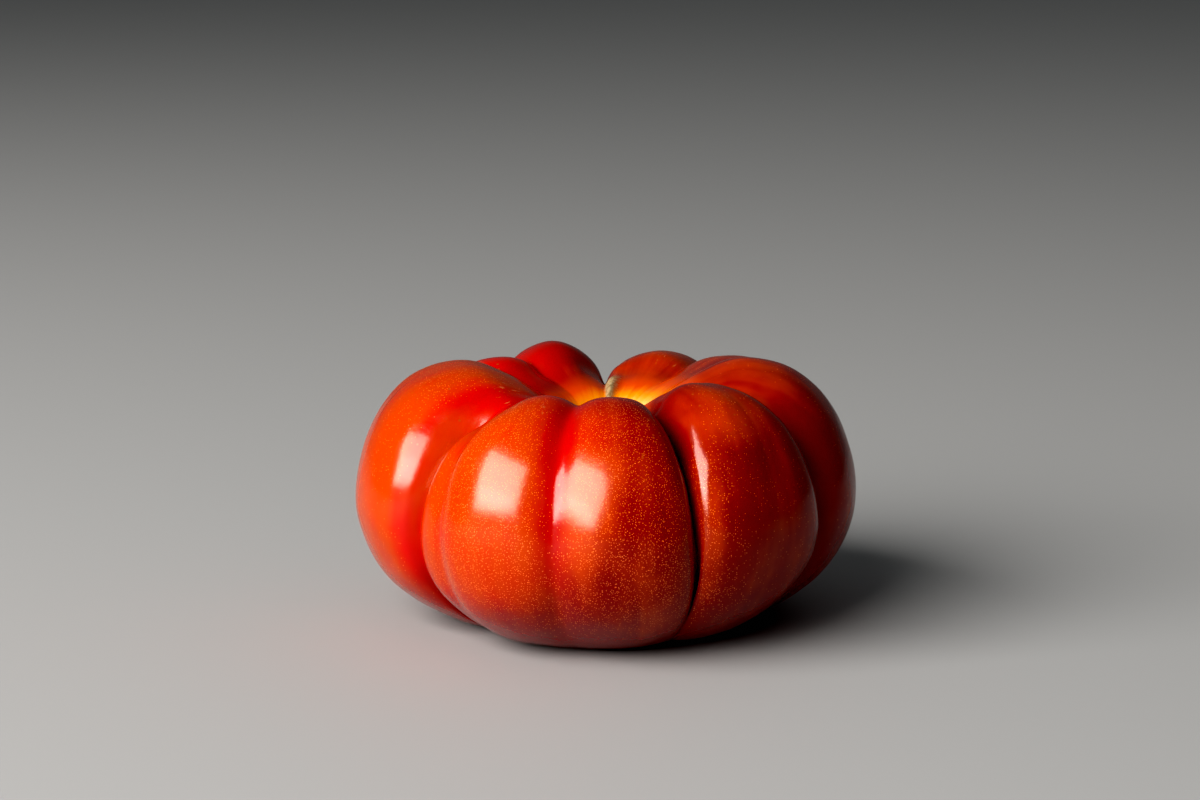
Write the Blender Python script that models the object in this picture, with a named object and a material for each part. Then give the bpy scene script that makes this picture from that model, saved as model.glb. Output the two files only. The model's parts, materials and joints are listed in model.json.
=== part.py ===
# A large ribbed tomato of the beefsteak kind, as picked, resting on its blossom end.
# It grew as one piece, so it is one solid: lobes between grooves, a stem hollow on top
# with its corky scar, and a shallow dimple below.
# Metres, +Z up, the front towards -Y. The origin is the middle of the bottom of the
# bounding box. Azimuths are degrees from the front, towards the right (+X).

import math
from typing import NamedTuple

import bmesh
import bpy

# Driving dimensions, in metres
WIDTH = 0.100          # left to right
DEPTH = 0.097          # front to back
HEIGHT = 0.0529        # floor to the highest crown
FLAT_CUT = 0.0007      # trimmed off the lowest crowns, which leaves the resting flats

MERIDIANS = 120        # one every 3 degrees, so that each groove lies on one
RINGS = 48
CURVE_STEPS = 40       # fine steps between two outline points while it is measured

# The section through a lobe's crown: (distance from the stem axis, height)
OUTLINE = (
    (0.0000, 0.0385),  # middle of the stem scar
    (0.0035, 0.0386),
    (0.0070, 0.0410),  # foot of the hollow's wall
    (0.0115, 0.0460),
    (0.0175, 0.0503),
    (0.0258, 0.0525),  # crest of the shoulder
    (0.0340, 0.0512),
    (0.0405, 0.0475),
    (0.0460, 0.0405),
    (0.0495, 0.0300),
    (0.0492, 0.0210),
    (0.0445, 0.0115),
    (0.0355, 0.0042),
    (0.0235, 0.0000),  # resting ring
    (0.0150, 0.0010),
    (0.0075, 0.0027),
    (0.0000, 0.0034),  # blossom end
)


class Groove(NamedTuple):
    azimuth: float     # in degrees
    depth: float       # in metres, below the crowns beside it
    spread: float      # in degrees, how far its flanks reach at the widest level
    rounding: float    # in degrees, the round at its bottom
    head: float        # share of the outline at which it begins
    foot: float        # share of the outline at which it has died away


class Sway(NamedTuple):
    azimuth: float     # of a meridian, in degrees
    at_stem: float     # degrees that it has turned where it meets the stem
    at_waist: float    # degrees that it has turned at the widest level
    at_foot: float     # degrees that it has turned where it meets the blossom end


class Lobe(NamedTuple):
    azimuth: float     # of its crown
    reach: float       # its size outwards, against the outline
    rise: float        # its size upwards, against the outline


GROOVES = (
    Groove(24, 0.0060, 2.2, 0.5, 0.00, 1.00),   # a narrow crease
    Groove(24, 0.0035, 8.0, 3.0, 0.00, 1.00),   # in a wide valley
    Groove(45, 0.0010, 5.0, 4.0, 0.00, 0.80),
    Groove(66, 0.0085, 6.0, 1.0, 0.00, 0.98),
    Groove(105, 0.0016, 7.0, 5.0, 0.00, 0.85),
    Groove(141, 0.0050, 7.0, 2.0, 0.00, 0.95),
    Groove(180, 0.0115, 7.0, 1.0, 0.00, 1.00),
    Groove(216, 0.0052, 6.0, 1.5, 0.00, 0.92),
    Groove(243, 0.0072, 6.0, 1.0, 0.00, 0.96),
    Groove(273, 0.0010, 8.0, 5.0, 0.00, 0.80),
    Groove(303, 0.0085, 5.0, 1.0, 0.15, 0.98),  # starts below the shoulder
    Groove(318, 0.0075, 5.0, 1.5, 0.00, 0.45),  # the deep upper part of the next one
    Groove(318, 0.0018, 4.0, 3.0, 0.00, 0.90),
    Groove(348, 0.0034, 5.0, 3.0, 0.00, 0.88),  # the soft valley in the front lobe
)

# How the meridians turn on their way down, which makes the grooves lean and curve
SWAYS = (
    Sway(6, -3.0, 0.0, 5.0),
    Sway(24, -6.5, -1.0, 8.0),
    Sway(28, 0.0, -3.5, -2.0),
    Sway(40, 0.0, -1.0, 0.0),
    Sway(66, -8.0, 0.0, 0.0),
    Sway(90, 0.0, 0.0, 0.0),
    Sway(270, 0.0, 0.0, 0.0),
    Sway(285, 3.0, 0.0, 2.0),
    Sway(298, 4.0, 1.0, 4.0),
    Sway(303, 10.0, 0.0, 0.0),
    Sway(318, 0.0, 0.0, 0.0),
    Sway(348, 0.0, 0.0, 0.0),
)
SWAY_AZIMUTHS = [sway.azimuth for sway in SWAYS]
TURNS_AT_STEM = [sway.at_stem for sway in SWAYS]
TURNS_AT_WAIST = [sway.at_waist for sway in SWAYS]
TURNS_AT_FOOT = [sway.at_foot for sway in SWAYS]

LOBES = (
    Lobe(6, 1.00, 0.955),
    Lobe(40, 1.00, 1.005),
    Lobe(85, 1.015, 1.010),
    Lobe(123, 1.015, 0.970),
    Lobe(160, 1.00, 0.980),
    Lobe(198, 1.00, 1.020),
    Lobe(230, 0.99, 0.990),
    Lobe(270, 1.02, 0.990),
    Lobe(312, 0.97, 0.940),
    Lobe(333, 1.00, 0.965),
)
LOBE_AZIMUTHS = [lobe.azimuth for lobe in LOBES]
LOBE_REACHES = [lobe.reach for lobe in LOBES]
LOBE_RISES = [lobe.rise for lobe in LOBES]

# How strongly the grooves are cut: (share of the outline, share of the groove's depth)
GROOVE_STRENGTH = (
    (0.00, 0.00),      # flat under the stem
    (0.06, 0.12),
    (0.20, 0.90),
    (0.32, 1.08),      # deepest on the shoulder
    (0.50, 0.86),
    (0.62, 0.62),
    (0.80, 0.25),
    (1.00, 0.00),
)
FOOT_FADE = 0.30       # share of the outline over which a groove dies away above its foot
HEAD_FADE = 0.20       # share of the outline over which a groove deepens below its head
WAIST_START = 0.50     # shares of the outline between which the turn at the waist holds
WAIST_END = 0.60
RISE_START = 0.18      # share of the outline at which a lobe has its whole rise, with none at the stem
WIDENING = 0.9         # 1 would keep a groove equally wide all the way in to the stem
LEAST_RADIUS = 0.004   # metres, nearer the axis the grooves get no wider
PINCH = 0.35           # how far a deep groove's flanks lean in over it
PINCH_REACH = 8.0      # degrees
DEEP = 0.0085          # metres, the groove that has the whole pinch

# The corky rib that climbs out of the stem hollow beside the back groove
CORK_RIB = 174         # azimuth in degrees
CORK_RIB_HEIGHT = 0.0016
CORK_RIB_HALF_WIDTH = 5.0      # degrees
CORK_RIB_SPAN = (0.03, 0.24)   # shares of the outline between which it stands


def smooth_step(value):
    value = min(1.0, max(0.0, value))
    return value * value * (3 - 2 * value)


def ramp(table, value):
    """The value read from a table of (place, value) pairs, eased between them."""
    for (place_a, value_a), (place_b, value_b) in zip(table, table[1:]):
        if value <= place_b:
            return value_a + (value_b - value_a) * smooth_step((value - place_a) / (place_b - place_a))
    return table[-1][1]


def around(places, values, azimuth):
    """The value at an azimuth, eased between neighbours all the way round."""
    azimuth = (azimuth - places[0]) % 360 + places[0]
    ring_places = (*places, places[0] + 360)
    ring_values = (*values, values[0])
    return ramp(tuple(zip(ring_places, ring_values)), azimuth)


def catmull_rom(a, b, c, d, share):
    """A point of the smooth curve from b to c, whose neighbours are a and d."""
    return tuple(
        0.5 * (2 * q + (r - p) * share + (2 * p - 5 * q + 4 * r - s) * share ** 2
               + (3 * q - p - 3 * r + s) * share ** 3)
        for p, q, r, s in zip(a, b, c, d)
    )


def outline_curve():
    """The outline as closely spaced points, with the distance run at each."""
    first, last = OUTLINE[0], OUTLINE[-1]
    mirrored_start = (-OUTLINE[1][0], OUTLINE[1][1])
    mirrored_end = (-OUTLINE[-2][0], OUTLINE[-2][1])
    points = (mirrored_start, *OUTLINE, mirrored_end)
    curve = [first]
    for a, b, c, d in zip(points, points[1:], points[2:], points[3:]):
        curve += [catmull_rom(a, b, c, d, step / CURVE_STEPS) for step in range(1, CURVE_STEPS + 1)]
    curve[-1] = last
    run = [0.0]
    for before, after in zip(curve, curve[1:]):
        run.append(run[-1] + math.dist(before, after))
    return curve, run


def outline_stations():
    """For each ring, the outline's radius and height there, and its outward normal."""
    curve, run = outline_curve()
    stations = []
    at = 0
    for ring in range(RINGS + 1):
        wanted = run[-1] * ring / RINGS
        while at < len(run) - 2 and run[at + 1] < wanted:
            at += 1
        share = (wanted - run[at]) / (run[at + 1] - run[at])
        (radius_a, height_a), (radius_b, height_b) = curve[at], curve[at + 1]
        length = math.dist(curve[at], curve[at + 1])
        normal = ((height_a - height_b) / length, (radius_b - radius_a) / length)
        stations.append((
            radius_a + (radius_b - radius_a) * share,
            height_a + (height_b - height_a) * share,
            normal,
        ))
    return stations


def groove_depth(azimuth, share, radius):
    """How deep the skin lies below the crowns, from all the grooves together."""
    widening = (WIDTH / 2 / max(radius, LEAST_RADIUS)) ** WIDENING
    depth = 0.0
    for groove in GROOVES:
        away = abs((azimuth - groove.azimuth + 180) % 360 - 180)
        away = math.hypot(away, groove.rounding) - groove.rounding
        fade = smooth_step((groove.foot - share) / FOOT_FADE)
        if groove.head > 0:
            fade *= smooth_step((share - groove.head) / HEAD_FADE)
        depth += groove.depth * fade * math.exp(-away / (groove.spread * widening))
    return depth * ramp(GROOVE_STRENGTH, share)


def cork_rib_height(azimuth, share):
    """How far the corky rib beside the back groove stands out of the skin."""
    low, high = CORK_RIB_SPAN
    along = (share - low) / (high - low)
    if not 0 < along < 1:
        return 0.0
    across = ((azimuth - CORK_RIB + 180) % 360 - 180) / CORK_RIB_HALF_WIDTH
    return CORK_RIB_HEIGHT * math.sin(math.pi * along) * math.exp(-across ** 2)


def pinched(azimuth):
    """The azimuth drawn in towards the deep grooves, so that the lobes swell over them."""
    shift = 0.0
    for groove in GROOVES:
        away = (azimuth - groove.azimuth + 180) % 360 - 180
        shift -= away * PINCH * groove.depth / DEEP * math.exp(-(away / PINCH_REACH) ** 2)
    return azimuth + shift


def swayed(azimuth, share):
    """The degrees that the meridian at an azimuth has turned at a share of the outline."""
    unwound = smooth_step(share / WAIST_END)
    wound = smooth_step((share - WAIST_START) / (1 - WAIST_START))
    turned = around(SWAY_AZIMUTHS, TURNS_AT_STEM, azimuth) * (1 - unwound)
    turned += around(SWAY_AZIMUTHS, TURNS_AT_WAIST, azimuth) * unwound * (1 - wound)
    return turned + around(SWAY_AZIMUTHS, TURNS_AT_FOOT, azimuth) * wound


def skin_point(azimuth, share, station):
    """The point of the skin at an azimuth and a share of the outline."""
    radius, height, (normal_out, normal_up) = station
    radius *= around(LOBE_AZIMUTHS, LOBE_REACHES, azimuth)
    height *= 1 + (around(LOBE_AZIMUTHS, LOBE_RISES, azimuth) - 1) * smooth_step(share / RISE_START)
    depth = groove_depth(azimuth, share, radius) - cork_rib_height(azimuth, share)
    radius -= depth * normal_out
    height -= depth * normal_up
    turn = math.radians(pinched(azimuth) + swayed(azimuth, share))
    return radius * math.sin(turn), -radius * math.cos(turn), height


def fit_to_size(mesh):
    """Trims the resting flats, then brings the fruit to its real width, depth and height."""
    lowest = min(vert.co.z for vert in mesh.verts)
    for vert in mesh.verts:
        vert.co.z = max(0.0, vert.co.z - lowest - FLAT_CUT)
    for axis, size in enumerate((WIDTH, DEPTH, HEIGHT)):
        low = min(vert.co[axis] for vert in mesh.verts)
        high = max(vert.co[axis] for vert in mesh.verts)
        middle = 0.0 if axis == 2 else (low + high) / 2
        for vert in mesh.verts:
            vert.co[axis] = (vert.co[axis] - middle) * size / (high - low)


def skin_material():
    material = bpy.data.materials.new("tomato_skin")
    material.use_nodes = True
    shader = material.node_tree.nodes["Principled BSDF"]
    shader.inputs["Base Color"].default_value = (0.56, 0.023, 0.006, 1)
    shader.inputs["Roughness"].default_value = 0.22
    shader.inputs["Metallic"].default_value = 0.0
    return material


def make_tomato():
    """A UV sphere whose rings follow the outline and whose meridians follow the grooves."""
    mesh = bmesh.new()
    bmesh.ops.create_uvsphere(mesh, u_segments=MERIDIANS, v_segments=RINGS, radius=1)
    stations = outline_stations()
    for vert in mesh.verts:
        share = math.acos(max(-1.0, min(1.0, vert.co.z))) / math.pi
        azimuth = math.degrees(math.atan2(vert.co.x, -vert.co.y))
        vert.co = skin_point(azimuth, share, stations[round(share * RINGS)])
    fit_to_size(mesh)
    data = bpy.data.meshes.new("tomato")
    mesh.to_mesh(data)
    mesh.free()
    data.shade_smooth()
    data.materials.append(skin_material())
    tomato = bpy.data.objects.new("tomato", data)
    bpy.context.scene.collection.objects.link(tomato)
    return tomato


for obj in list(bpy.data.objects):
    bpy.data.objects.remove(obj)
make_tomato()
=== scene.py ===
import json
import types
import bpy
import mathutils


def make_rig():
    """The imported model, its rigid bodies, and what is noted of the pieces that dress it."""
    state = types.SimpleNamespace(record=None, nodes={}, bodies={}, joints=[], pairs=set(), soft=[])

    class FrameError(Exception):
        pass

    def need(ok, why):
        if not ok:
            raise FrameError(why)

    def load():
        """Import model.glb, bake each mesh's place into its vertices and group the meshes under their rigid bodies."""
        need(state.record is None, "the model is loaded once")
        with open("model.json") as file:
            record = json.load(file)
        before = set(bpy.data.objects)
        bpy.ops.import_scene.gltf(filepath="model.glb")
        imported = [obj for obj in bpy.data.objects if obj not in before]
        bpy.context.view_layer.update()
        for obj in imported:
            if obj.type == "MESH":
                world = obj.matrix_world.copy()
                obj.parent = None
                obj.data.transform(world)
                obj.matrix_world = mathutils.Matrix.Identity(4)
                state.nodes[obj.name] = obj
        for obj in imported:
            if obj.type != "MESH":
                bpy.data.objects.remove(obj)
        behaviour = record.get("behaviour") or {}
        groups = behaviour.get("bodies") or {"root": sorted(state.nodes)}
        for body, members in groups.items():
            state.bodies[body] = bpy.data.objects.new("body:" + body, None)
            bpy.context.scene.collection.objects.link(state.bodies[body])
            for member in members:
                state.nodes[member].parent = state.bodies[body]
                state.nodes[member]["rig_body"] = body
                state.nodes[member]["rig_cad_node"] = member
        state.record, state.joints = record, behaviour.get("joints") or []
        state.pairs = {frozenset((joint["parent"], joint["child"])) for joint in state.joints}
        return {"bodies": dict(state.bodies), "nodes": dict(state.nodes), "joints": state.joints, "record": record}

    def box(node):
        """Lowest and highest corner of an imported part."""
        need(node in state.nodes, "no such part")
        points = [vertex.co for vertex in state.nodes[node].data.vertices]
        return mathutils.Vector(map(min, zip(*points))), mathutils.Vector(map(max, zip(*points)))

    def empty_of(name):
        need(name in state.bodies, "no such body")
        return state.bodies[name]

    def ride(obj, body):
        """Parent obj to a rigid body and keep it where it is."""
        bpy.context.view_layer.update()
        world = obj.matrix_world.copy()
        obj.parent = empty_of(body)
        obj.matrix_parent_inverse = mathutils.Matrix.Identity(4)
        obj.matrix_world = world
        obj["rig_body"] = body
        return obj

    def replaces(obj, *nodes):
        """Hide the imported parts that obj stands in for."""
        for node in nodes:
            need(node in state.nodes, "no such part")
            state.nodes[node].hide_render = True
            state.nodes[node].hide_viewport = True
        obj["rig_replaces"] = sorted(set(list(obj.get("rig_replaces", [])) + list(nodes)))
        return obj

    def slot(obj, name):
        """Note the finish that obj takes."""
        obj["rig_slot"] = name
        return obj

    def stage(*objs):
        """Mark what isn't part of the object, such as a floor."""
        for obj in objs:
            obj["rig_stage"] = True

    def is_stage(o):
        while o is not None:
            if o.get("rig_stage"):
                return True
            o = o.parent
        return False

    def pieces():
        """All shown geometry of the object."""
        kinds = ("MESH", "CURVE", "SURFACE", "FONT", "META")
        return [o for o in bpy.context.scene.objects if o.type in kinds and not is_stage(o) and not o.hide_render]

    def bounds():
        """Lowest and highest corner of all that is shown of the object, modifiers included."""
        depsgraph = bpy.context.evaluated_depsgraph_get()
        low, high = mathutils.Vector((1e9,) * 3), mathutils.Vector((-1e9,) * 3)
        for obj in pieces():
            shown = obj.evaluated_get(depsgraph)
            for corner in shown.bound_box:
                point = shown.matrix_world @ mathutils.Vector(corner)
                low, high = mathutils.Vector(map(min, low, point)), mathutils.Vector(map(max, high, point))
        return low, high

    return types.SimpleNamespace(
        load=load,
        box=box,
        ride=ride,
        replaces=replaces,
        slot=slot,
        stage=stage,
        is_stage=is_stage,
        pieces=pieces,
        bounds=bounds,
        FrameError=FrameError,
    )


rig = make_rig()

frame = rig.load()
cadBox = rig.bounds()

import json
import math

import bpy
import numpy as np
from mathutils import Vector, noise

sceneSettings = {
    "body": "root",
    "node": "tomato",
    "sizeFile": "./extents.json",
    "upward": 0.5,            # a face looks up where its normal rises more than this
}


# Helpers for colours, nodes and selections

def linearColour(hexText):
    channels = [int(hexText[i:i + 2], 16) / 255 for i in (1, 3, 5)]
    return (*(c / 12.92 if c <= 0.04045 else ((c + 0.055) / 1.055) ** 2.4 for c in channels), 1.0)


def newMaterial(name):
    material = bpy.data.materials.new(name)
    material.use_nodes = True
    return material, material.node_tree.nodes["Principled BSDF"]


# The names of a Mix node's sockets repeat, so they go by number: its share, the two that it
# mixes and what it gives.
mixShare = 0
firstColour, secondColour, mixedColour = 6, 7, 2
firstNumber, secondNumber, mixedNumber = 2, 3, 0


def addNode(tree, kind, settings=None, inputs=None):
    # the settings are the node's own; an input is a value, or another node's output to link, and
    # goes by its number where the names repeat
    node = tree.nodes.new(kind)
    for name, value in (settings or {}).items():
        setattr(node, name, value)
    for name, value in (inputs or {}).items():
        if isinstance(value, bpy.types.NodeSocket):
            tree.links.new(value, node.inputs[name])
        else:
            node.inputs[name].default_value = value
    return node


def deselectAll():
    if bpy.context.mode != "OBJECT":
        bpy.ops.object.mode_set(mode="OBJECT")
    bpy.ops.object.select_all(action="DESELECT")


# The fruit's form: an outline from the stem to the blossom end, and grooves that run down it

skinSettings = {
    "segments": 150,
    "rings": 72,
    "cuts": 2,                # of each face, each way, once the ball is made
    # the section through a lobe's crown, as distance from the stem axis and height
    "outline": [
        (0.0000, 0.0385), (0.0035, 0.0386), (0.0070, 0.0410), (0.0115, 0.0460), (0.0175, 0.0503),
        (0.0258, 0.0525), (0.0340, 0.0512), (0.0405, 0.0475), (0.0460, 0.0405), (0.0495, 0.0300),
        (0.0492, 0.0210), (0.0445, 0.0115), (0.0355, 0.0042), (0.0235, 0.0000), (0.0150, 0.0010),
        (0.0075, 0.0027), (0.0000, 0.0034),
    ],
    # azimuth, depth, spread in degrees, rounding in degrees, head and foot as shares of the outline
    "grooves": [
        (24, 0.0060, 2.2, 0.5, 0.00, 1.00),
        (24, 0.0035, 8.0, 3.0, 0.00, 1.00),
        (45, 0.0010, 5.0, 4.0, 0.00, 0.80),
        (66, 0.0085, 6.0, 1.0, 0.00, 0.98),
        (105, 0.0016, 7.0, 5.0, 0.00, 0.85),
        (141, 0.0050, 7.0, 2.0, 0.00, 0.95),
        (180, 0.0115, 7.0, 1.0, 0.00, 1.00),
        (216, 0.0052, 6.0, 1.5, 0.00, 0.92),
        (243, 0.0072, 6.0, 1.0, 0.00, 0.96),
        (273, 0.0010, 8.0, 5.0, 0.00, 0.80),
        (303, 0.0085, 5.0, 1.0, 0.15, 0.98),
        (318, 0.0075, 5.0, 1.5, 0.00, 0.45),
        (318, 0.0018, 4.0, 3.0, 0.00, 0.90),
        (348, 0.0034, 5.0, 3.0, 0.00, 0.88),
    ],
    # azimuth, and the degrees that the form has turned there at the stem, waist and blossom end
    "sway": [
        (6, -3, 0, 5), (24, -6.5, -1, 8), (28, 0, -3.5, -2), (40, 0, -1, 0), (66, -8, 0, 0),
        (90, 0, 0, 0), (270, 0, 0, 0), (285, 3, 0, 2), (298, 4, 1, 4), (303, 10, 0, 0),
        (318, 0, 0, 0), (348, 0, 0, 0),
    ],
    # azimuth of each crown, its size outwards and its size upwards
    "lobes": [
        (6, 1.00, 0.955), (40, 1.00, 1.005), (85, 1.015, 1.010), (123, 1.015, 0.970),
        (160, 1.00, 0.980), (198, 1.00, 1.020), (230, 0.99, 0.990), (270, 1.02, 0.990),
        (312, 0.97, 0.940), (333, 1.00, 0.965),
    ],
    # share of the outline, share of a groove's depth
    "strength": [
        (0.00, 0.00), (0.06, 0.12), (0.20, 0.90), (0.32, 1.08), (0.50, 0.86), (0.62, 0.62),
        (0.80, 0.25), (1.00, 0.00),
    ],
    "headFade": 0.20,         # shares over which a groove comes in after its head
    "footFade": 0.30,         # and fades out before its foot
    "waistEnd": 0.60,         # share where the sway of the stem end has all given way
    "waistStart": 0.50,       # and where that of the blossom end comes in
    "riseStart": 0.18,        # where a lobe has its whole size upwards, with none of it at the stem
    "waistRadius": 0.05,      # where a groove has its own spread
    "leastRadius": 0.004,     # nearer the axis a groove gets no wider
    "widening": 0.9,          # 1 keeps a groove's width the same all the way in
    "pinch": 0.35,            # how far a deep groove's flanks lean in over it
    "pinchReach": 8.0,        # degrees
    "deep": 0.0085,           # the groove that has the whole pinch
    "flatCut": 0.0007,        # trimmed off the lowest crowns
    "curveSteps": 40,         # from each point of the outline to the next
    # the corky rib behind the stem: half width in degrees, span as shares of the outline
    "rib": {"azimuth": 174, "height": 0.0016, "halfWidth": 5.0, "span": (0.03, 0.24)},
    "waveSize": 0.011,        # soft dents and swellings that the grooves leave out
    "waveHeight": 0.0005,
    "waveDetail": 1,
    # thin corky lines where the skin split and healed: azimuth, half width in degrees, span
    "corkLines": [(175, 7.0, (0.02, 0.18)), (354, 1.0, (0.09, 0.16))],
}


def smoothStep(value):
    value = np.clip(value, 0.0, 1.0)
    return value * value * (3 - 2 * value)


def easedTable(places, values, at):
    # eased between the table's places
    places = np.asarray(places, float)
    values = np.asarray(values, float)
    index = np.clip(np.searchsorted(places, at, side="right") - 1, 0, len(places) - 2)
    share = (at - places[index]) / (places[index + 1] - places[index])
    return values[index] + (values[index + 1] - values[index]) * smoothStep(share)


def easedRound(places, values, azimuth):
    # the same, all the way round
    places, start = np.unique(places, return_index=True)
    values = np.asarray(values, float)[start]
    azimuth = (azimuth - places[0]) % 360 + places[0]
    return easedTable([*places, places[0] + 360], [*values, values[0]], azimuth)


def outlineStations(settings):
    # radius, height and outward normal at evenly spaced shares of the outline
    given = np.array(settings["outline"])
    before = given[1] * (-1, 1)
    after = given[-2] * (-1, 1)
    points = np.vstack([before, given, after])
    share = np.arange(settings["curveSteps"])[:, None] / settings["curveSteps"]
    curve = []
    for a, b, c, d in zip(points, points[1:], points[2:], points[3:]):
        curve.append(0.5 * (2 * b + (c - a) * share + (2 * a - 5 * b + 4 * c - d) * share ** 2
                            + (3 * b - a - 3 * c + d) * share ** 3))
    curve = np.vstack([*curve, given[-1:]])
    steps = np.diff(curve, axis=0)
    run = np.concatenate([[0], np.cumsum(np.hypot(*steps.T))])
    middles = (run[1:] + run[:-1]) / 2
    normals = np.stack([-steps[:, 1], steps[:, 0]], 1) / np.hypot(*steps.T)[:, None]
    wanted = np.linspace(0, run[-1], settings["rings"] * (settings["cuts"] + 1) + 1)
    radius, height = (np.interp(wanted, run, curve[:, i]) for i in (0, 1))
    normalOut, normalUp = (np.interp(wanted, middles, normals[:, i]) for i in (0, 1))
    return radius, height, normalOut, normalUp


def grooveDepth(settings, azimuth, share, radius):
    nearness = settings["waistRadius"] / np.maximum(radius, settings["leastRadius"])
    widening = nearness ** settings["widening"]
    depth = np.zeros_like(azimuth)
    for place, deep, spread, rounding, head, foot in settings["grooves"]:
        away = np.abs((azimuth - place + 180) % 360 - 180)
        away = np.hypot(away, rounding) - rounding
        fade = smoothStep((foot - share) / settings["footFade"])
        if head > 0:
            fade = fade * smoothStep((share - head) / settings["headFade"])
        depth += deep * fade * np.exp(-away / (spread * widening))
    places, strengths = zip(*settings["strength"])
    return depth * easedTable(places, strengths, share)


def ribHeight(rib, azimuth, share):
    low, high = rib["span"]
    along = (share - low) / (high - low)
    across = ((azimuth - rib["azimuth"] + 180) % 360 - 180) / rib["halfWidth"]
    rise = rib["height"] * np.sin(math.pi * np.clip(along, 0, 1))
    return rise * np.exp(-across ** 2)


def corkCover(settings, azimuth, share):
    # how much of the skin is cork there, from 0 to 1
    cover = np.zeros_like(azimuth)
    for place, halfWidth, (low, high) in settings["corkLines"]:
        along = np.clip((share - low) / (high - low), 0, 1)
        across = ((azimuth - place + 180) % 360 - 180) / halfWidth
        cover = np.maximum(cover, np.sin(math.pi * along) ** 0.5 * np.exp(-across ** 2))
    return cover


def turnOf(settings, azimuth, share):
    # the azimuth where a meridian really runs, in degrees
    turned = azimuth.copy()
    for place, deep, *_ in settings["grooves"]:
        away = (azimuth - place + 180) % 360 - 180
        reach = np.exp(-(away / settings["pinchReach"]) ** 2)
        turned -= away * settings["pinch"] * deep / settings["deep"] * reach
    places, *turns = zip(*settings["sway"])
    atStem, atWaist, atFoot = (easedRound(places, turn, azimuth) for turn in turns)
    unwound = smoothStep(share / settings["waistEnd"])
    wound = smoothStep((share - settings["waistStart"]) / (1 - settings["waistStart"]))
    return turned + atStem * (1 - unwound) + atWaist * unwound * (1 - wound) + atFoot * wound


def fitted(points, settings, box):
    # trims the resting flats, then brings the form to the frame's own box
    low, high = (np.array(corner) for corner in box)
    points[:, 2] = np.maximum(0, points[:, 2] - points[:, 2].min() - settings["flatCut"])
    reach = points.max(0) - points.min(0)
    return (points - points.min(0)) * (high - low) / reach + low


def setAttribute(mesh, name, kind, values):
    attribute = mesh.attributes.new(name, kind, "POINT")
    field = "vector" if kind == "FLOAT_VECTOR" else "value"
    attribute.data.foreach_set(field, np.ascontiguousarray(values, np.float32).ravel())


def makeWaves(piece, settings):
    clouds = bpy.data.textures.new("waves", "CLOUDS")
    clouds.noise_scale = settings["waveSize"]
    clouds.noise_depth = settings["waveDetail"]
    waves = piece.modifiers.new("waves", "DISPLACE")
    waves.texture = clouds
    waves.texture_coords = "LOCAL"
    waves.strength = settings["waveHeight"]
    bpy.ops.object.modifier_apply(modifier=waves.name)


def makeSkin(settings):
    deselectAll()
    bpy.ops.mesh.primitive_uv_sphere_add(
        segments=settings["segments"], ring_count=settings["rings"], radius=1, calc_uvs=False
    )
    bpy.ops.object.mode_set(mode="EDIT")
    bpy.ops.mesh.select_all(action="SELECT")
    bpy.ops.mesh.subdivide(number_cuts=settings["cuts"])
    bpy.ops.object.mode_set(mode="OBJECT")
    skin = bpy.context.object
    skin.name = skin.data.name = "tomato_skin"
    mesh = skin.data
    rings = settings["rings"] * (settings["cuts"] + 1)
    segments = settings["segments"] * (settings["cuts"] + 1)
    ball = np.zeros(len(mesh.vertices) * 3, np.float32)
    mesh.vertices.foreach_get("co", ball)
    x, y, z = ball.reshape(-1, 3).astype(float).T
    ring = np.round(np.arctan2(np.hypot(x, y), z) / math.pi * rings).astype(int)
    share = ring / rings
    azimuth = np.round(np.arctan2(x, -y) / math.tau * segments) / segments * 360 % 360
    radius, height, normalOut, normalUp = (station[ring] for station in outlineStations(settings))
    crowns = [lobe[0] for lobe in settings["lobes"]]
    radius = radius * easedRound(crowns, [lobe[1] for lobe in settings["lobes"]], azimuth)
    rise = easedRound(crowns, [lobe[2] for lobe in settings["lobes"]], azimuth)
    height = height * (1 + (rise - 1) * smoothStep(share / settings["riseStart"]))
    groove = grooveDepth(settings, azimuth, share, radius)
    depth = groove - ribHeight(settings["rib"], azimuth, share)
    radius = radius - depth * normalOut
    height = height - depth * normalUp
    turn = np.radians(turnOf(settings, azimuth, share))
    points = np.stack([radius * np.sin(turn), -radius * np.cos(turn), height], 1)
    mesh.vertices.foreach_set("co", points.astype(np.float32).ravel())
    mesh.update()
    setAttribute(mesh, "groove", "FLOAT", groove)
    setAttribute(mesh, "share", "FLOAT", share)
    setAttribute(mesh, "cork", "FLOAT", corkCover(settings, azimuth, share))
    around = np.radians(azimuth)
    flow = np.stack([np.sin(around), -np.cos(around), share], 1)
    setAttribute(mesh, "flow", "FLOAT_VECTOR", flow)
    makeWaves(skin, settings)
    mesh = skin.data
    mesh.vertices.foreach_get("co", ball)
    points = fitted(ball.reshape(-1, 3).astype(float), settings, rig.box(sceneSettings["node"]))
    mesh.vertices.foreach_set("co", points.astype(np.float32).ravel())
    mesh.update()
    bpy.ops.object.shade_smooth()
    return skin


# Ripe tomato skin: a thin waxy cuticle over red flesh. The wax gives a sharp sheen, the flesh under
# it scatters the light, and the flecks are golden pits just below the wax. The crowns are painted a
# warmer red than the valleys, and the side towards the light warmer still, as painted light, with the
# side away from it a deeper red as painted shade; the collar round the stem stays yellow.

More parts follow.
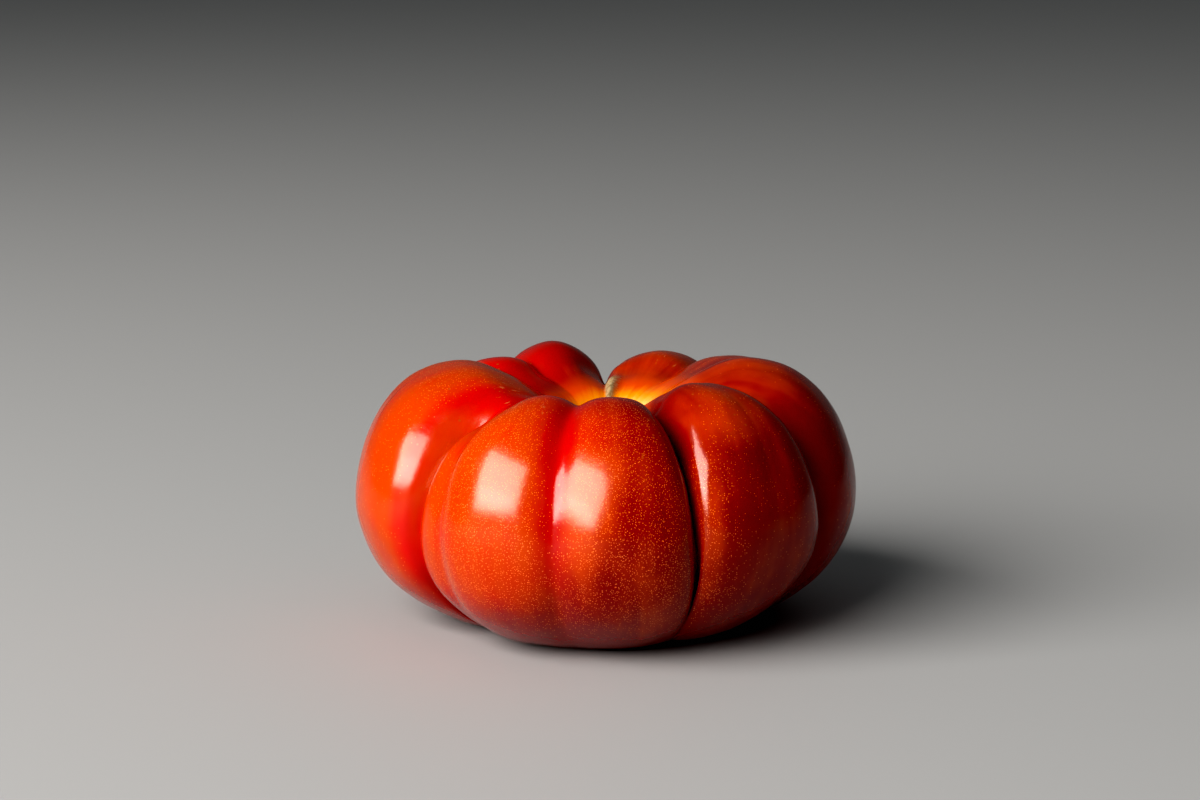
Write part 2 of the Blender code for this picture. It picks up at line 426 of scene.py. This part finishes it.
skinLook = {
    "deepRed": "#7e0602",
    "red": "#b20e02",
    "warmRed": "#b04204",
    "orange": "#c9520a",
    "gold": "#dc9415",
    "cream": "#e6c583",
    "fleck": "#f68c44",
    "speck": "#a04c24",
    "scuff": "#c88a62",
    "cork": "#aa9a7c",
    "corkDark": "#80704f",

    # the noise behind each pattern: size in metres, detail and roughness
    "noises": {
        "mottle": (0.014, 3.0, 0.55),      # clouds of warmer and cooler red
        "fleckPatch": (0.009, 2.0, 0.5),
        "speckCluster": (0.010, 1.0, 0.5),
        "scuffPatch": (0.013, 2.0, 0.5),
        "corkGrain": (0.0008, 4.0, 0.5),   # crumbs of dry cork
        "peel": (0.0011, 2.0, 0.5),        # the faint orange peel of the wax
    },
    # the same for what runs along the meridians: size across, size along and detail
    "flowNoises": {
        "streak": (0.004, 0.030, 2.0),
        "scuff": (0.0011, 0.0022, 3.0),
    },
    "noiseSpan": (0.3, 0.7),        # nearly all values of a noise lie in it
    "waist": 0.05,                  # radius there, which the flow attribute counts as 1
    "outlineLength": 0.12,          # from stem to blossom end, which it counts as 1 too

    "crownSpan": (0.0036, 0.0010),  # groove depths at which the skin is all valley and all crown
    # painted light: the way towards the light at the upper left, where the skin is painted warmer and brighter
    "paintedLightSide": (-0.90, -0.20, 0.40),
    "paintedLightSpan": (0.016, 0.038),      # metres towards that side over which it gets warmer
    "paintedLightFoot": (0.76, 0.56),       # shares towards the blossom end over which the painted light fades out
    "coolness": -1.05,              # takes off what the mottle and the streaks add on average
    # painted light: warmth on the crowns, on the lit side and in the pools; the mottle and streaks are the skin's own
    "crownWarmth": 0.20,
    "towardLightWarmth": 0.64,
    "paintedPoolWarmth": 1.0,
    "mottleWarmth": 1.15,
    "streakWarmth": 0.95,
    # painted light: warm orange pools where the light falls strongest; middle, reach, warmth and how many flecks they
    # add
    "paintedLightPools": [
        ((0.0195, -0.0285, 0.0480), (0.014, 0.014, 0.010), 0.50, 0.0),    # top of the right lobe
        ((0.0178, -0.0395, 0.0290), (0.007, 0.010, 0.024), 0.60, 0.8),    # its left flank
        ((0.0260, -0.0080, 0.0490), (0.016, 0.016, 0.016), 0.50, 0.0),    # the lobe behind it
        ((0.0120, 0.0200, 0.0490), (0.020, 0.020, 0.020), 0.55, 0.0),     # right of the cork rib
        ((-0.0330, -0.0215, 0.0370), (0.021, 0.018, 0.022), 0.65, 0.0),   # left lobe's flank
        ((-0.0025, -0.0440, 0.0320), (0.008, 0.011, 0.022), 0.40, 0.0),   # middle of the front
    ],
    "paintedPoolCore": 0.3,               # share of its reach inside which a patch is at its warmest

    # shares of the outline between which each colour of the collar comes in
    "collar": {"orange": (0.128, 0.078), "gold": (0.092, 0.064), "cream": (0.070, 0.044)},
    "collarReach": 5.0,             # share by which a metre of groove depth draws the collar out
    # painted light: the collar reaches further to the right, paler on the lit wall of the hollow and narrower on its
    # shaded left wall
    "collarLitSide": 1.8,              # and by which a metre to the right does
    "collarFray": 0.004,            # share by which it frays into streaks

    "fleckSize": 0.00036,           # a cell of the pattern; a dot, 0.25 mm across, fills most of it
    "speckSize": 0.0011,            # the same for the coarser russet specks
    "dotSpan": (0.35, 0.09),        # a dot's rim and core, in cells from its middle
    "dotFaintest": 0.6,             # share of its colour that the faintest dot has
    # where each kind of mark thins out: by what, its values where the marks are fewest and most,
    # and the shares of them that are left there. "share" is the place from the stem down, and
    # "aside" is metres to the right of the middle.
    "markLevels": {
        "fleck": [
            ("fleckPatch", (0.25, 0.45), (0.80, 1.0)),
            ("share", (0.12, 0.32), (0.0, 1.0)),
            ("share", (0.75, 0.59), (0.0, 1.0)),
            ("aside", (-0.040, -0.028), (0.15, 1.0)),
            ("aside", (0.030, 0.014), (0.12, 1.0)),
        ],
        # loose clusters on the shoulders
        "speck": [
            ("speckCluster", (0.50, 0.68), (0.0, 0.45)),
            ("share", (0.16, 0.24), (0.0, 1.0)),
            ("share", (0.48, 0.36), (0.0, 1.0)),
        ],
        # short pale scuffs, on the shoulders too
        "scuff": [
            ("scuff", (0.60, 0.74), (0.0, 0.6)),
            ("scuffPatch", (0.56, 0.66), (0.0, 1.0)),
            ("share", (0.12, 0.17), (0.0, 1.0)),
            ("share", (0.36, 0.28), (0.0, 1.0)),
        ],
    },

    "corkTones": (0.35, 0.65),      # values of the grain from dark cork to pale
    "corkFray": 0.5,                # how far the grain frays the cork's edge
    "corkSpan": (0.55, 1.15),       # from bare skin to cork
    "peelHeight": 0.00003,
    "pitDepth": 0.3,                # of a fleck, against the peel
    "corkRelief": 2.0,              # of the cork's grain, against the peel
    "roughness": (0.20, 0.27),
    "corkRoughness": 0.75,
    "ior": 1.50,
    "coat": 0.25,
    "coatRoughness": 0.12,
    "scatter": 0.12,
    "scatterDepth": 0.0015,
    "scatterReach": (1.0, 0.2, 0.08),
}


def makeSkinMaterial(look):
    material, shader = newMaterial("waxyTomatoSkin")
    tree = material.node_tree
    eased = {"interpolation_type": "SMOOTHSTEP"}
    colours = {"data_type": "RGBA"}
    place = addNode(tree, "ShaderNodeTexCoord").outputs["Object"]
    flow = addNode(tree, "ShaderNodeAttribute", {"attribute_name": "flow"}).outputs["Vector"]

    # what the colours and the relief go by
    fields = {
        name: addNode(tree, "ShaderNodeAttribute", {"attribute_name": name}).outputs["Fac"]
        for name in ("groove", "share", "cork")
    }
    fields["aside"] = addNode(tree, "ShaderNodeSeparateXYZ", None, {"Vector": place}).outputs["X"]
    for name, (size, detail, roughness) in look["noises"].items():
        fields[name] = addNode(tree, "ShaderNodeTexNoise", None, {
            "Vector": place, "Scale": 1 / size, "Detail": detail, "Roughness": roughness,
        }).outputs["Fac"]
    for name, (across, along, detail) in look["flowNoises"].items():
        finer = (look["waist"] / across, look["waist"] / across, look["outlineLength"] / along)
        flowPlace = addNode(tree, "ShaderNodeMapping", None, {"Vector": flow, "Scale": finer})
        fields[name] = addNode(tree, "ShaderNodeTexNoise", None, {
            "Vector": flowPlace.outputs["Vector"], "Scale": 1.0, "Detail": detail,
        }).outputs["Fac"]

    # warmth: painted light on the crowns, towards the light and in soft pools; real clouds and streaks
    # painted light: how far each point lies towards the light
    towardLight = addNode(tree, "ShaderNodeVectorMath", {"operation": "DOT_PRODUCT"}, {
        0: place, 1: look["paintedLightSide"],
    })
    crown, paintedLightSide, aboveFoot = (
        addNode(tree, "ShaderNodeMapRange", eased, {
            "Value": value, "From Min": look[span][0], "From Max": look[span][1],
        }).outputs["Result"]
        for value, span in (
            (fields["groove"], "crownSpan"), (towardLight.outputs["Value"], "paintedLightSpan"),
            (fields["share"], "paintedLightFoot"),
        )
    )
    # the painted light on the crowns and on the lit side fades out towards the blossom end
    paintedLitShare, raised = (
        addNode(tree, "ShaderNodeMath", {"operation": "MULTIPLY"}, {
            0: value, 1: aboveFoot,
        }).outputs["Value"]
        for value in (paintedLightSide, crown)
    )
    paintedLitCrown = addNode(tree, "ShaderNodeMath", {"operation": "MULTIPLY"}, {0: paintedLitShare, 1: crown})
    # painted light: warm orange pools where the light falls strongest, some with flecks
    paintedPool = 0.0
    flecked = crown
    for middle, reach, warm, flecks in look["paintedLightPools"]:
        offset = addNode(tree, "ShaderNodeVectorMath", {"operation": "SUBTRACT"}, {
            0: place, 1: middle,
        })
        scaled = addNode(tree, "ShaderNodeVectorMath", {"operation": "DIVIDE"}, {
            0: offset.outputs["Vector"], 1: reach,
        })
        away = addNode(tree, "ShaderNodeVectorMath", {"operation": "LENGTH"}, {
            0: scaled.outputs["Vector"],
        })
        level = addNode(tree, "ShaderNodeMapRange", eased, {
            "Value": away.outputs["Value"], "From Min": 1.0, "From Max": look["paintedPoolCore"],
        }).outputs["Result"]
        paintedPool, flecked = (
            addNode(tree, "ShaderNodeMath", {"operation": "MULTIPLY_ADD"}, {
                0: level, 1: weight, 2: total,
            }).outputs["Value"]
            for weight, total in ((warm, paintedPool), (flecks, flecked))
        )
    causes = {
        "crown": raised, "towardLight": paintedLitCrown.outputs["Value"], "paintedPool": paintedPool,
        "mottle": fields["mottle"], "streak": fields["streak"],
    }
    warmth = look["coolness"]
    for cause, value in causes.items():
        warmth = addNode(tree, "ShaderNodeMath", {"operation": "MULTIPLY_ADD"}, {
            0: value, 1: look[cause + "Warmth"], 2: warmth,
        }).outputs["Value"]
    ripenessAndPaintedLight = addNode(tree, "ShaderNodeMapRange", eased, {"Value": warmth}).outputs["Result"]
    # painted shade and light: deep red on the side away from the light, red towards it, then warmer red
    colour = linearColour(look["deepRed"])
    for level, name in ((paintedLitShare, "red"), (ripenessAndPaintedLight, "warmRed")):
        colour = addNode(tree, "ShaderNodeMix", colours, {
            mixShare: level, firstColour: colour, secondColour: linearColour(look[name]),
        }).outputs[mixedColour]

    # the collar round the stem, which runs out along the grooves, reaches further right as painted light and frays
    # into streaks
    collar = fields["share"]
    for name, reach in (("groove", look["collarReach"]), ("aside", look["collarLitSide"])):
        collar = addNode(tree, "ShaderNodeMath", {"operation": "MULTIPLY_ADD"}, {
            0: fields[name], 1: -reach, 2: collar,
        }).outputs["Value"]
    fray = addNode(tree, "ShaderNodeMapRange", None, {
        "Value": fields["streak"],
        "From Min": look["noiseSpan"][0], "From Max": look["noiseSpan"][1],
        "To Min": -look["collarFray"], "To Max": look["collarFray"],
    }).outputs["Result"]
    collar = addNode(tree, "ShaderNodeMath", {"operation": "ADD"}, {
        0: collar, 1: fray,
    }).outputs["Value"]
    for name, (outer, inner) in look["collar"].items():
        level = addNode(tree, "ShaderNodeMapRange", eased, {
            "Value": collar, "From Min": outer, "From Max": inner,
        }).outputs["Result"]
        colour = addNode(tree, "ShaderNodeMix", colours, {
            mixShare: level, firstColour: colour, secondColour: linearColour(look[name]),
        }).outputs[mixedColour]

    # how thickly each kind of mark lies; flecks also keep to the crowns and the painted pools of light
    amounts = {"fleck": flecked, "speck": 1.0, "scuff": 1.0}
    for mark, levels in look["markLevels"].items():
        for name, (fewest, most), (least, fullest) in levels:
            level = addNode(tree, "ShaderNodeMapRange", eased, {
                "Value": fields[name], "From Min": fewest, "From Max": most,
                "To Min": least, "To Max": fullest,
            }).outputs["Result"]
            amounts[mark] = addNode(tree, "ShaderNodeMath", {"operation": "MULTIPLY"}, {
                0: amounts[mark], 1: level,
            }).outputs["Value"]

    # specks and flecks are dots in the cells of a pattern, and each cell has one or none
    for mark in ("speck", "fleck"):
        cells = addNode(tree, "ShaderNodeTexVoronoi", None, {
            "Vector": place, "Scale": 1 / look[mark + "Size"],
        })
        chance = addNode(tree, "ShaderNodeSeparateColor", None, {"Color": cells.outputs["Color"]})
        dot = addNode(tree, "ShaderNodeMapRange", eased, {
            "Value": cells.outputs["Distance"],
            "From Min": look["dotSpan"][0], "From Max": look["dotSpan"][1],
        }).outputs["Result"]
        chosen = addNode(tree, "ShaderNodeMath", {"operation": "LESS_THAN"}, {
            0: chance.outputs["Red"], 1: amounts[mark],
        }).outputs["Value"]
        strength = addNode(tree, "ShaderNodeMapRange", None, {
            "Value": chance.outputs["Green"], "To Min": look["dotFaintest"],
        }).outputs["Result"]
        for level in (chosen, strength):
            dot = addNode(tree, "ShaderNodeMath", {"operation": "MULTIPLY"}, {
                0: dot, 1: level,
            }).outputs["Value"]
        fields[mark] = dot
    for mark, level in (
        ("speck", fields["speck"]), ("fleck", fields["fleck"]), ("scuff", amounts["scuff"]),
    ):
        colour = addNode(tree, "ShaderNodeMix", colours, {
            mixShare: level, firstColour: colour, secondColour: linearColour(look[mark]),
        }).outputs[mixedColour]

    # healed splits, where dry cork lies on the skin
    corkTone = addNode(tree, "ShaderNodeMapRange", eased, {
        "Value": fields["corkGrain"],
        "From Min": look["corkTones"][0], "From Max": look["corkTones"][1],
    }).outputs["Result"]
    corkColour = addNode(tree, "ShaderNodeMix", colours, {
        mixShare: corkTone, firstColour: linearColour(look["corkDark"]),
        secondColour: linearColour(look["cork"]),
    }).outputs[mixedColour]
    frayed = addNode(tree, "ShaderNodeMath", {"operation": "MULTIPLY_ADD"}, {
        0: fields["corkGrain"], 1: look["corkFray"], 2: fields["cork"],
    })
    corky = addNode(tree, "ShaderNodeMapRange", eased, {
        "Value": frayed.outputs["Value"],
        "From Min": look["corkSpan"][0], "From Max": look["corkSpan"][1],
    }).outputs["Result"]
    colour = addNode(tree, "ShaderNodeMix", colours, {
        mixShare: corky, firstColour: colour, secondColour: corkColour,
    }).outputs[mixedColour]
    tree.links.new(colour, shader.inputs["Base Color"])

    # sheen: a little uneven on the wax, and none on the cork
    sheen = addNode(tree, "ShaderNodeMapRange", None, {
        "Value": fields["mottle"],
        "From Min": look["noiseSpan"][0], "From Max": look["noiseSpan"][1],
        "To Min": look["roughness"][0], "To Max": look["roughness"][1],
    }).outputs["Result"]
    rough = addNode(tree, "ShaderNodeMix", {"data_type": "FLOAT"}, {
        mixShare: corky, firstNumber: sheen, secondNumber: look["corkRoughness"],
    }).outputs[mixedNumber]
    tree.links.new(rough, shader.inputs["Roughness"])

    # relief: orange peel, a pit at each fleck and a rough grain on the cork
    crumbs = addNode(tree, "ShaderNodeMath", {"operation": "MULTIPLY"}, {
        0: corky, 1: fields["corkGrain"],
    }).outputs["Value"]
    height = fields["peel"]
    for form, amount in ((fields["fleck"], -look["pitDepth"]), (crumbs, look["corkRelief"])):
        height = addNode(tree, "ShaderNodeMath", {"operation": "MULTIPLY_ADD"}, {
            0: form, 1: amount, 2: height,
        }).outputs["Value"]
    bump = addNode(tree, "ShaderNodeBump", None, {
        "Distance": look["peelHeight"], "Height": height,
    })
    tree.links.new(bump.outputs["Normal"], shader.inputs["Normal"])

    shader.inputs["IOR"].default_value = look["ior"]
    shader.inputs["Coat Weight"].default_value = look["coat"]
    shader.inputs["Coat Roughness"].default_value = look["coatRoughness"]
    shader.inputs["Subsurface Weight"].default_value = look["scatter"]
    shader.inputs["Subsurface Radius"].default_value = look["scatterReach"]
    shader.inputs["Subsurface Scale"].default_value = look["scatterDepth"]
    return material


skin = makeSkin(skinSettings)
skin.data.materials.append(makeSkinMaterial(skinLook))
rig.ride(skin, sceneSettings["body"])
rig.replaces(skin, sceneSettings["node"])
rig.slot(skin, "skin")
print("skin done")


# The scars: dry cork where the stem broke off and where the flower was. The cork is matt and
# bark-like, in pale rays with dark cracks between them that run out from the middle.

stemScar = {
    "name": "stem_scar",
    "corners": 48,
    "radius": 0.0046,
    "thickness": 0.0030,
    # inset and rise of each step, from the rim to the woody middle
    "steps": [
        (0.0005, 0.0003), (0.0007, 0.0001), (0.0009, -0.0002), (0.0009, -0.0003), (0.0004, 0.0003),
        (0.0003, 0.0002), (0.0004, -0.0003),
    ],
    "points": [24, 66, 141, 180, 216, 243, 303, 322],   # azimuths where it runs out into a groove
    "pointLength": 0.30,
    "pointWidth": 9.0,        # degrees
    "stretch": (1.0, 1.0),
    "smoothing": 3,
    "rayCount": 6.0,          # waves of the pattern in one radian
    "rayHeight": 0.00022,
    "lift": 0.0005,           # of the rim above the skin
}

blossomScar = {
    "name": "blossom_scar",
    "corners": 36,
    "radius": 0.0030,
    "thickness": 0.0012,
    "steps": [(0.0004, 0.0002), (0.0006, 0.0001), (0.0007, -0.0002), (0.0006, -0.0001)],
    "points": [15, 75, 130, 205, 260, 320],
    "pointLength": 0.35,
    "pointWidth": 14.0,
    "stretch": (1.5, 0.8),    # a healed slit more than a disc
    "smoothing": 3,
    "rayCount": 4.0,
    "rayHeight": 0.00012,
    "lift": 0.0003,
}

corkLook = {
    "pale": "#b79a6c",
    "tan": "#8d6b42",
    "dark": "#4a3219",
    "grain": 0.0006,          # crumbs, in metres
    "rays": 5.0,              # of the pattern in one radian
    "rayRings": 1.6,          # its changes from the middle to the rim
    "grainShare": 0.35,       # of the crumbs in the tone, against the rays
    "detail": 4.0,
    "patternRoughness": 0.6,
    # tones of the pattern between which each colour comes in over the dark
    "tones": {"tan": (0.34, 0.48), "pale": (0.48, 0.64)},
    "bumpHeight": 0.00010,
    "roughness": 0.86,
    "ior": 1.5,
}


def skinPole(atStem):
    # the middle of the stem end or of the blossom end, on the finished skin
    share = np.zeros(len(skin.data.vertices), np.float32)
    skin.data.attributes["share"].data.foreach_get("value", share)
    return skin.data.vertices[int(share.argmin() if atStem else share.argmax())].co.copy()


def makeScar(settings, atStem):
    deselectAll()
    bpy.ops.mesh.primitive_cylinder_add(
        vertices=settings["corners"], radius=settings["radius"], depth=settings["thickness"]
    )
    scar = bpy.context.object
    scar.name = scar.data.name = settings["name"]
    bpy.ops.object.mode_set(mode="EDIT")
    bpy.ops.mesh.select_mode(type="FACE")
    bpy.ops.mesh.select_all(action="DESELECT")
    bpy.ops.object.mode_set(mode="OBJECT")
    for face in scar.data.polygons:
        face.select = face.normal.z > sceneSettings["upward"]
    bpy.ops.object.mode_set(mode="EDIT")
    for inset, rise in settings["steps"]:
        bpy.ops.mesh.inset(thickness=inset)
        bpy.ops.transform.translate(value=(0, 0, rise))
    bpy.ops.mesh.poke()
    bpy.ops.object.mode_set(mode="OBJECT")
    smooth = scar.modifiers.new("smooth", "SUBSURF")
    smooth.levels = smooth.render_levels = settings["smoothing"]
    bpy.ops.object.modifier_apply(modifier=smooth.name)
    rays = []
    for vertex in scar.data.vertices:
        x, y, _ = vertex.co
        out = math.hypot(x, y) / settings["radius"]
        around = math.atan2(x, -y)
        rays.append((math.sin(around), -math.cos(around), out))
        if vertex.co.z > 0:
            wave = noise.noise(Vector(rays[-1]) * settings["rayCount"])
            vertex.co.z += settings["rayHeight"] * wave * math.sin(math.pi * min(1.0, out))
        turns = [(math.degrees(around) - point + 180) % 360 - 180 for point in settings["points"]]
        runOut = sum(math.exp(-(turn / settings["pointWidth"]) ** 2) for turn in turns)
        reach = 1 + settings["pointLength"] * runOut * min(1.0, out) ** 2
        vertex.co.x = x * reach * settings["stretch"][0]
        vertex.co.y = y * reach * settings["stretch"][1]
    setAttribute(scar.data, "rays", "FLOAT_VECTOR", rays)
    if not atStem:
        scar.rotation_euler.x = math.pi
    rise = settings["lift"] - settings["thickness"] / 2
    scar.location = skinPole(atStem) + Vector((0, 0, rise if atStem else -rise))
    bpy.ops.object.transform_apply(location=True, rotation=True, scale=True)
    bpy.ops.object.shade_smooth()
    return scar


def makeCorkMaterial(look):
    material, shader = newMaterial("dryStemCork")
    tree = material.node_tree
    place = addNode(tree, "ShaderNodeTexCoord").outputs["Object"]
    rays = addNode(tree, "ShaderNodeAttribute", {"attribute_name": "rays"}).outputs["Vector"]
    rayPlace = addNode(tree, "ShaderNodeMapping", None, {
        "Vector": rays, "Scale": (look["rays"], look["rays"], look["rayRings"]),
    }).outputs["Vector"]
    wood, grain = (
        addNode(tree, "ShaderNodeTexNoise", None, {
            "Vector": vector, "Scale": scale, "Detail": look["detail"],
            "Roughness": look["patternRoughness"],
        }).outputs["Fac"]
        for vector, scale in ((rayPlace, 1.0), (place, 1 / look["grain"]))
    )
    tone = addNode(tree, "ShaderNodeMix", {"data_type": "FLOAT"}, {
        mixShare: look["grainShare"], firstNumber: wood, secondNumber: grain,
    }).outputs[mixedNumber]
    colour = linearColour(look["dark"])
    for name, (start, end) in look["tones"].items():
        level = addNode(tree, "ShaderNodeMapRange", {"interpolation_type": "SMOOTHSTEP"}, {
            "Value": tone, "From Min": start, "From Max": end,
        }).outputs["Result"]
        colour = addNode(tree, "ShaderNodeMix", {"data_type": "RGBA"}, {
            mixShare: level, firstColour: colour, secondColour: linearColour(look[name]),
        }).outputs[mixedColour]
    tree.links.new(colour, shader.inputs["Base Color"])
    bump = addNode(tree, "ShaderNodeBump", None, {"Distance": look["bumpHeight"], "Height": tone})
    tree.links.new(bump.outputs["Normal"], shader.inputs["Normal"])
    shader.inputs["Roughness"].default_value = look["roughness"]
    shader.inputs["IOR"].default_value = look["ior"]
    return material


cork = makeCorkMaterial(corkLook)
for settings, atStem in ((stemScar, True), (blossomScar, False)):
    scar = makeScar(settings, atStem)
    scar.data.materials.append(cork)
    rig.ride(scar, sceneSettings["body"])
    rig.slot(scar, "skin")
print("scars done")


# The studio: a pale floor, one large soft box at the upper left with a lamp in it, and a dim
# surround. The floor is a board in matt studio paint, which scatters the light and hardly mirrors.

studioSettings = {
    "floorSize": 12.0,
    "floorColour": "#a9afb4",
    "floorRoughness": 0.7,
    "surround": "#e6e4e0",
    "surroundStrength": 0.17,
    "lampColour": "#fff4ea",
    # name, watts, size, azimuth, elevation and distance from the aim
    "lights": [
        ("softBox", 50.0, (1.74, 1.20), -47.0, 30.0, 1.65),
        ("softBoxLamp", 3.0, (1.20, 0.30), -47.0, 20.0, 1.62),
    ],
    "aim": (0, 0, 0.03),
    "viewTransform": "Standard",
    "contrast": "High Contrast",
    "blackLevel": 0.018,
}


def makeFloor(settings):
    deselectAll()
    bpy.ops.mesh.primitive_plane_add(size=settings["floorSize"])
    floor = bpy.context.object
    floor.name = "floor"
    material, shader = newMaterial("paintedStudioFloor")
    shader.inputs["Base Color"].default_value = linearColour(settings["floorColour"])
    shader.inputs["Roughness"].default_value = settings["floorRoughness"]
    floor.data.materials.append(material)
    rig.stage(floor)


def directionOf(azimuth, elevation):
    a, e = math.radians(azimuth), math.radians(elevation)
    return Vector((math.sin(a) * math.cos(e), -math.cos(a) * math.cos(e), math.sin(e)))


def makeLights(settings):
    for name, power, size, azimuth, elevation, distance in settings["lights"]:
        light = bpy.data.lights.new(name, "AREA")
        light.shape = "RECTANGLE"
        light.size, light.size_y = size
        light.energy = power
        light.color = linearColour(settings["lampColour"])[:3]
        lamp = bpy.data.objects.new(name, light)
        bpy.context.scene.collection.objects.link(lamp)
        away = directionOf(azimuth, elevation)
        lamp.location = Vector(settings["aim"]) + away * distance
        lamp.rotation_euler = away.to_track_quat("Z", "Y").to_euler()
    world = bpy.data.worlds.new("studioSurround")
    world.use_nodes = True
    background = world.node_tree.nodes["Background"]
    background.inputs["Color"].default_value = linearColour(settings["surround"])
    background.inputs["Strength"].default_value = settings["surroundStrength"]
    bpy.context.scene.world = world


cameraSettings = {
    "elevation": 10.5,
    "distance": 0.60,
    "lens": 90.6,
    "nearest": 0.01,
    "aim": (-0.0011, 0.0, 0.0445),
}


def makeCamera(settings):
    data = bpy.data.cameras.new("camera")
    data.lens = settings["lens"]
    data.clip_start = settings["nearest"]
    camera = bpy.data.objects.new("camera", data)
    bpy.context.scene.collection.objects.link(camera)
    away = directionOf(0, settings["elevation"])
    camera.location = Vector(settings["aim"]) + away * settings["distance"]
    camera.rotation_euler = away.to_track_quat("Z", "Y").to_euler()
    bpy.context.scene.camera = camera


def setView(settings):
    view = bpy.context.scene.view_settings
    view.view_transform = settings["viewTransform"]
    view.look = settings["contrast"]
    view.use_curve_mapping = True
    view.curve_mapping.black_level = (settings["blackLevel"],) * 3
    view.curve_mapping.update()


makeFloor(studioSettings)
makeLights(studioSettings)
makeCamera(cameraSettings)
setView(studioSettings)
print("studio done")

with open(sceneSettings["sizeFile"], "w") as sizeFile:
    json.dump([[list(corner) for corner in box] for box in (cadBox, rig.bounds())], sizeFile)
